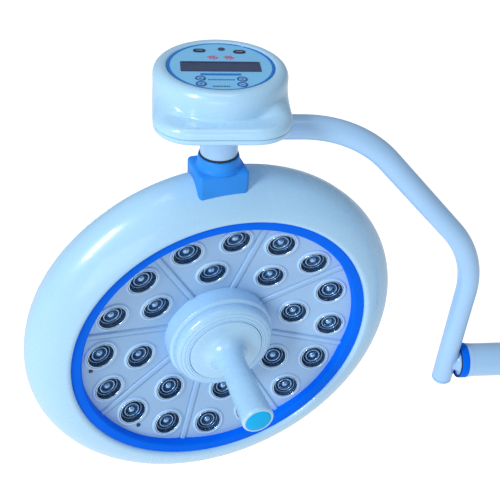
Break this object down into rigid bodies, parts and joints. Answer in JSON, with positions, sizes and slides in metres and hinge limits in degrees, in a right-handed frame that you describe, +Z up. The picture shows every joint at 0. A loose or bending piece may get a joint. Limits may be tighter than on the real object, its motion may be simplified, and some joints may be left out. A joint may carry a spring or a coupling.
{
  "type": "dental operating light",
  "caption": "Round shadowless LED dental light with a dished lens panel, centre handle, blue trim, control pod and bent support tube ending in an arm socket.",
  "frame": {"origin": "centre of the open mouth of the arm socket", "axes": "+X out of the socket's mouth, +Z up, the lamp lights towards -Y"},
  "size_m": [0.7577, 0.2554, 0.6263],
  "materials": {
    "white_plastic": "gloss",
    "blue_plastic": "gloss",
    "block_blue": "satin",
    "cap_blue": "gloss",
    "panel_grey": "satin",
    "panel_film": "satin",
    "dark_window": "gloss",
    "dark_plastic": "satin",
    "round_key": "satin",
    "lens_clear": "gloss",
    "reflector_chrome": "metallised",
    "steel": "brushed",
    "aluminium": "satin",
    "bush_plastic": "matt",
    "board": "satin",
    "seal_rubber": "matt",
    "white_paint": "gloss",
    "led_white": "gloss"
  },
  "bodies": {
    "arm": {"arm_tube": "white_paint", "arm_end_ring": "blue_plastic", "arm_seal_ring": "seal_rubber", "arm_bush_front": "bush_plastic", "arm_bush_rear": "bush_plastic", "arm_socket_screws": "steel"},
    "bent_arm": {"bent_tube": "white_paint", "arm_tee_block": "steel", "arm_spindle": "steel", "arm_spindle_clip": "steel", "tube_end_cap": "white_plastic", "pod_pivot_spindle": "steel", "lamp_cable": "seal_rubber"},
    "pod": {"pod_shell": "white_plastic", "pod_bottom_cover": "white_plastic", "pod_chassis": "aluminium", "chassis_screws": "steel", "pod_bushes": "bush_plastic", "pod_cover_screws": "steel", "neck_tube": "white_paint", "neck_screw": "steel", "neck_ring": "seal_rubber", "neck_spindle": "steel", "panel_face": "panel_film", "panel_ring": "blue_plastic", "display_window": "dark_window", "sensor_window": "dark_window", "display_board": "board", "key_switches": "dark_plastic"},
    "head": {"rim_block": "block_blue", "block_bushes": "bush_plastic", "block_screws": "steel", "block_grub_screw": "steel", "front_casing": "white_plastic", "back_cover": "white_plastic", "back_cover_screws": "steel", "trim_ring": "blue_plastic", "lens_panel": "panel_grey", "lens_bezels": "panel_grey", "lenses": "lens_clear", "reflectors": "reflector_chrome", "leds": "led_white", "led_boards": "board", "heat_sink": "aluminium", "led_driver": "dark_plastic", "panel_screws": "dark_plastic", "hub_base": "white_plastic", "hub_ring": "white_plastic", "handle_socket": "aluminium"},
    "handle": {"handle_grip": "white_plastic", "handle_cap": "cap_blue", "handle_pin": "steel"},
    "key_power_body": {"key_power": "dark_plastic"},
    "key_mode_body": {"key_mode": "dark_plastic"},
    "key_up_body": {"key_up": "round_key"},
    "key_down_body": {"key_down": "round_key"},
    "key_plus_body": {"key_plus": "round_key"},
    "key_minus_body": {"key_minus": "round_key"}
  },
  "joints": [
    {"name": "arm_roll", "type": "hinge", "parent": "arm", "child": "bent_arm", "pos_m": [-0.15, 0, 0], "axis": [1, 0, 0], "range_deg": [-90, 90]},
    {"name": "pod_tilt", "type": "hinge", "parent": "bent_arm", "child": "pod", "pos_m": [-0.52, 0, 0.377], "axis": [1, 0, 0], "range_deg": [-30, 90]},
    {"name": "head_swivel", "type": "hinge", "parent": "pod", "child": "head", "pos_m": [-0.52, 0, 0.34], "axis": [0, 0, 1], "range_deg": [-150, 150]},
    {"name": "handle_twist", "type": "hinge", "parent": "head", "child": "handle", "pos_m": [-0.50958, -0.01286, 0.0682], "axis": [0.2419, -0.9703, 0], "range_deg": [0, 45]},
    {"name": "key_power_press", "type": "slide", "parent": "pod", "child": "key_power_body", "axis": [0, 0, -1], "range_m": [0, 0.0008]},
    {"name": "key_mode_press", "type": "slide", "parent": "pod", "child": "key_mode_body", "axis": [0, 0, -1], "range_m": [0, 0.0008]},
    {"name": "key_up_press", "type": "slide", "parent": "pod", "child": "key_up_body", "axis": [0, 0, -1], "range_m": [0, 0.0008]},
    {"name": "key_down_press", "type": "slide", "parent": "pod", "child": "key_down_body", "axis": [0, 0, -1], "range_m": [0, 0.0008]},
    {"name": "key_plus_press", "type": "slide", "parent": "pod", "child": "key_plus_body", "axis": [0, 0, -1], "range_m": [0, 0.0008]},
    {"name": "key_minus_press", "type": "slide", "parent": "pod", "child": "key_minus_body", "axis": [0, 0, -1], "range_m": [0, 0.0008]}
  ]
}
